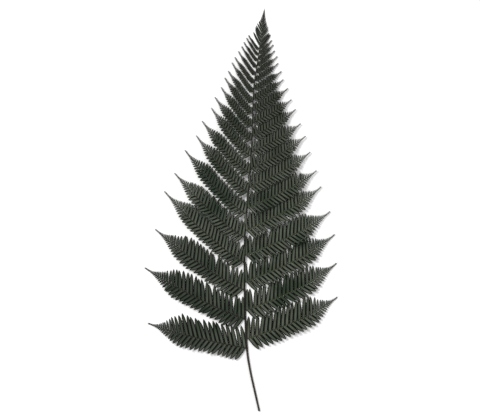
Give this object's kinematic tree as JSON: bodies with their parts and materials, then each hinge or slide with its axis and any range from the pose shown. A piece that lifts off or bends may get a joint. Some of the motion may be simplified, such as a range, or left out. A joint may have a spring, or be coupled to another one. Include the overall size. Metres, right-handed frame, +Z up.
{
  "type": "bracken frond",
  "caption": "Cut bracken fern frond lying flat, upper side up: a grooved stalk with toothed pinnae in pairs that shorten towards a slender tip.",
  "frame": {"origin": "on the surface the frond lies on, under the middle of its bounding box", "axes": "+Y along the frond from the cut end of the stalk to the tip, +X across it towards its right side, +Z up out of its upper side"},
  "size_m": [0.2872, 0.5964, 0.0092],
  "materials": {
    "leaf_green": "dry matt leaf blade, dark grey green with a faint waxy sheen, paler underneath",
    "stalk_brown": "smooth fibrous brown stalk, lengthwise streaks"
  },
  "bodies": {
    "root": {"stalk": "stalk_brown", "pinna_left_01": "leaf_green", "pinna_left_02": "leaf_green", "pinna_left_03": "leaf_green", "pinna_left_04": "leaf_green", "pinna_left_05": "leaf_green", "pinna_left_06": "leaf_green", "pinna_left_07": "leaf_green", "pinna_left_08": "leaf_green", "pinna_left_09": "leaf_green", "pinna_left_10": "leaf_green", "pinna_left_11": "leaf_green", "pinna_left_12": "leaf_green", "pinna_left_13": "leaf_green", "pinna_left_14": "leaf_green", "pinna_left_15": "leaf_green", "pinna_left_16": "leaf_green", "pinna_left_17": "leaf_green", "pinna_left_18": "leaf_green", "pinna_left_19": "leaf_green", "pinna_left_20": "leaf_green", "pinna_right_01": "leaf_green", "pinna_right_02": "leaf_green", "pinna_right_03": "leaf_green", "pinna_right_04": "leaf_green", "pinna_right_05": "leaf_green", "pinna_right_06": "leaf_green", "pinna_right_07": "leaf_green", "pinna_right_08": "leaf_green", "pinna_right_09": "leaf_green", "pinna_right_10": "leaf_green", "pinna_right_11": "leaf_green", "pinna_right_12": "leaf_green", "pinna_right_13": "leaf_green", "pinna_right_14": "leaf_green", "pinna_right_15": "leaf_green", "pinna_right_16": "leaf_green", "pinna_right_17": "leaf_green", "pinna_right_18": "leaf_green", "pinna_right_19": "leaf_green", "pinna_right_20": "leaf_green", "frond_tip": "leaf_green"}
  },
  "joints": []
}
